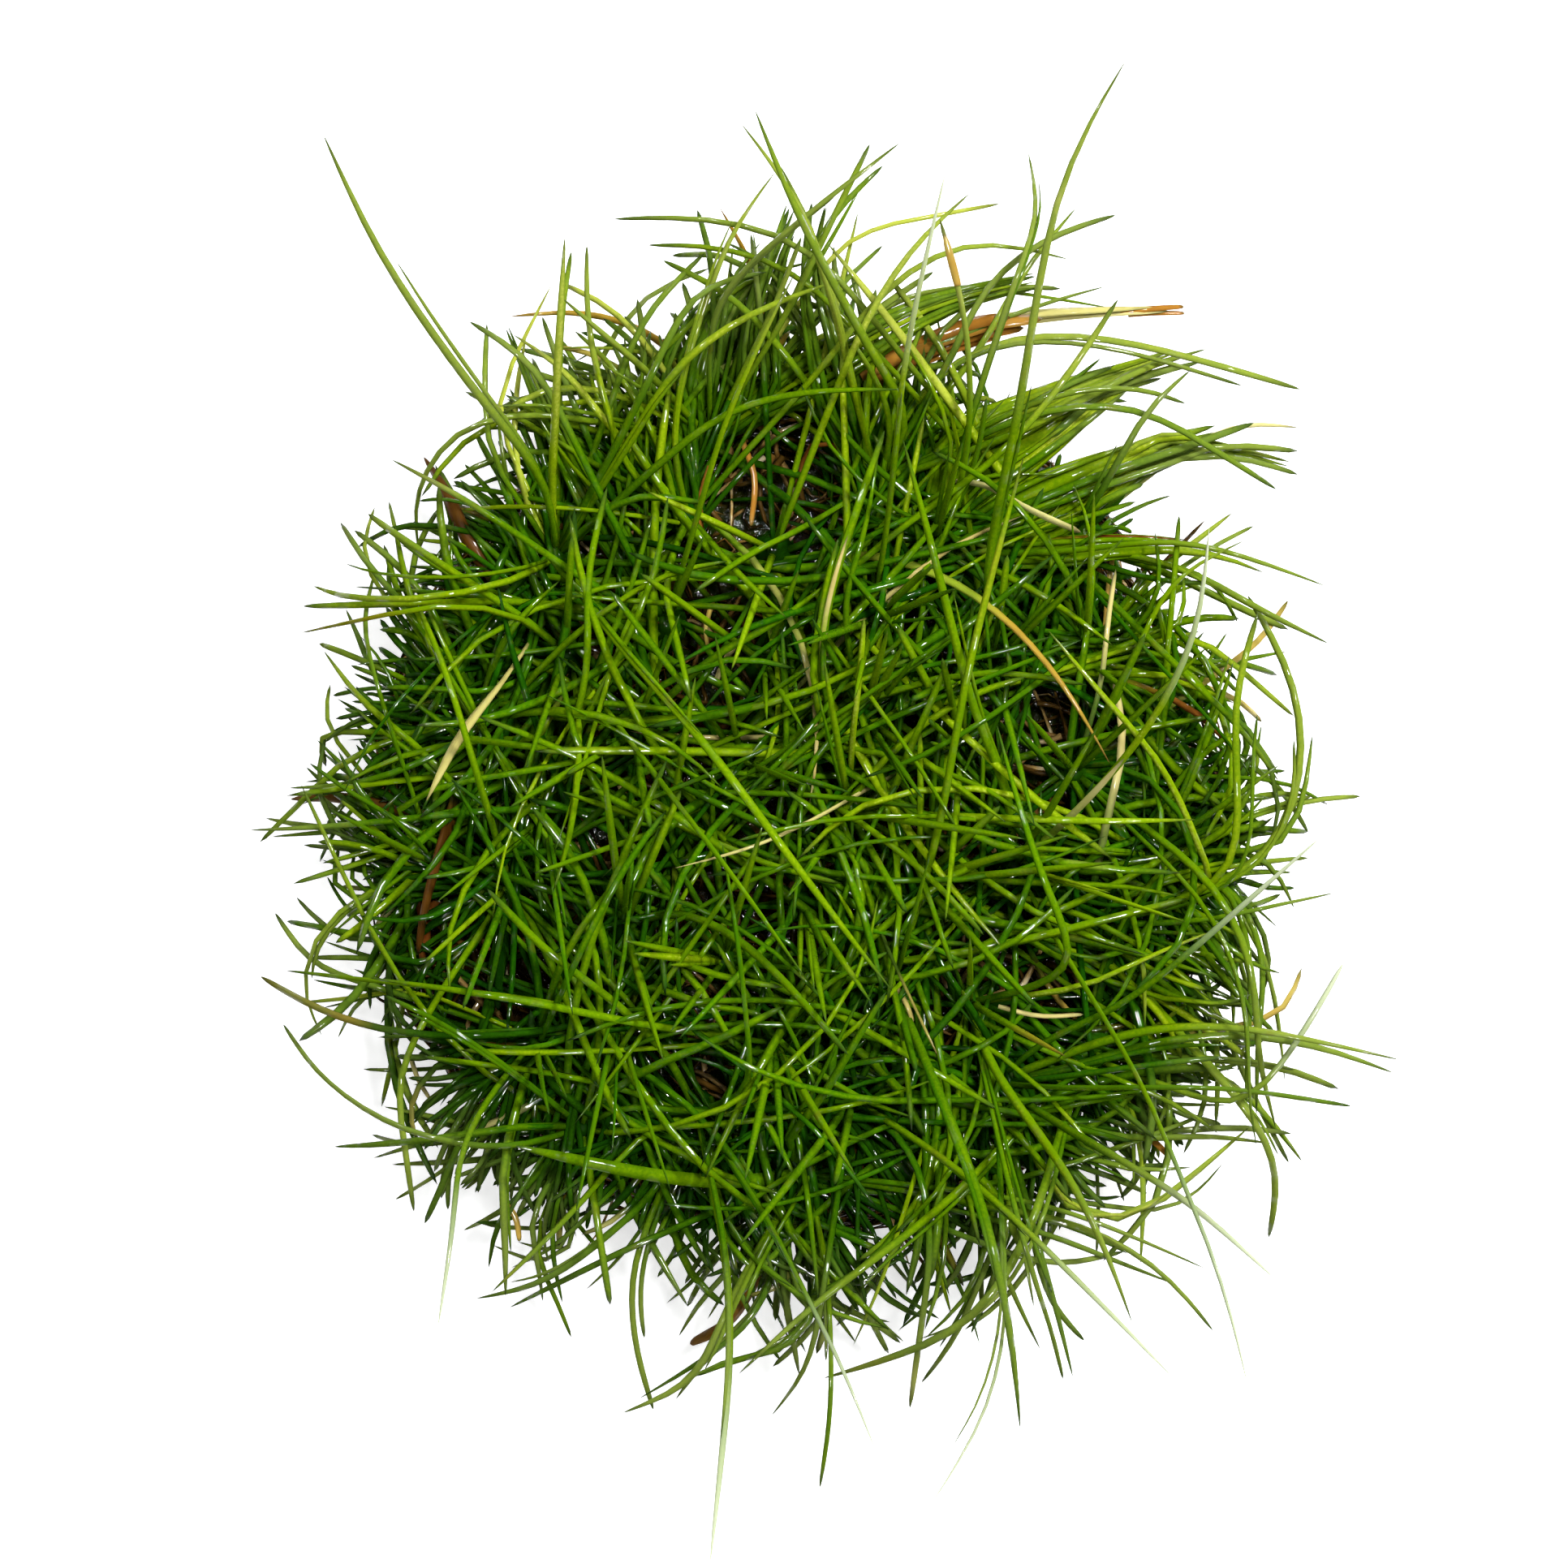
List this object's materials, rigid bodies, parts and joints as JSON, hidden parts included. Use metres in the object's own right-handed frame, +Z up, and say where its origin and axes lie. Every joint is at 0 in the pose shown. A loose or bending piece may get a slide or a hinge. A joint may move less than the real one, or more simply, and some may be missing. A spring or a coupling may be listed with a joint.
{
  "type": "dwarf hairgrass",
  "caption": "Round portion of a grass-like aquarium plant: fine arching needle leaves in tufts on a flat-bottomed mat of roots, for laying or planting in a tank.",
  "frame": {"origin": "middle of the root mat's flat underside, which the portion rests on", "axes": "+Z up, away from the table; +Y towards the side whose strays reach furthest up the picture; +X to the picture's right"},
  "size_m": [0.066, 0.0826, 0.0311],
  "materials": {
    "leaf_green": "wet and smooth",
    "leaf_dead": "damp, tan to rust brown",
    "root_felt": "wet matted roots"
  },
  "bodies": {
    "root": {"root_mat": "root_felt", "tuft_01": "leaf_green", "tuft_02": "leaf_green", "tuft_03": "leaf_green", "tuft_04": "leaf_green", "tuft_05": "leaf_green", "tuft_06": "leaf_green", "tuft_07": "leaf_green", "tuft_08": "leaf_green", "tuft_09": "leaf_green", "tuft_10": "leaf_green", "tuft_11": "leaf_green", "tuft_12": "leaf_green", "tuft_13": "leaf_green", "tuft_14": "leaf_green", "tuft_15": "leaf_green", "tuft_16": "leaf_green", "tuft_17": "leaf_green", "tuft_18": "leaf_green", "tuft_19": "leaf_green", "tuft_20": "leaf_green", "tuft_21": "leaf_green", "tuft_22": "leaf_green", "tuft_23": "leaf_green", "tuft_24": "leaf_green", "tuft_25": "leaf_green", "tuft_26": "leaf_green", "tuft_27": "leaf_green", "tuft_28": "leaf_green", "tuft_29": "leaf_green", "tuft_30": "leaf_green", "tuft_31": "leaf_green", "tuft_32": "leaf_green", "tuft_33": "leaf_green", "tuft_34": "leaf_green", "tuft_35": "leaf_green", "tuft_36": "leaf_green", "tuft_37": "leaf_green", "tuft_38": "leaf_green", "tuft_39": "leaf_green", "tuft_40": "leaf_green", "tuft_41": "leaf_green", "tuft_42": "leaf_green", "dead_leaf_01": "leaf_dead", "dead_leaf_02": "leaf_dead", "dead_leaf_03": "leaf_dead", "dead_leaf_04": "leaf_dead", "dead_leaf_05": "leaf_dead", "dead_leaf_06": "leaf_dead", "dead_leaf_07": "leaf_dead", "dead_leaf_08": "leaf_dead", "dead_leaf_09": "leaf_dead", "dead_leaf_10": "leaf_dead", "dead_leaf_11": "leaf_dead", "dead_leaf_12": "leaf_dead"}
  },
  "joints": []
}
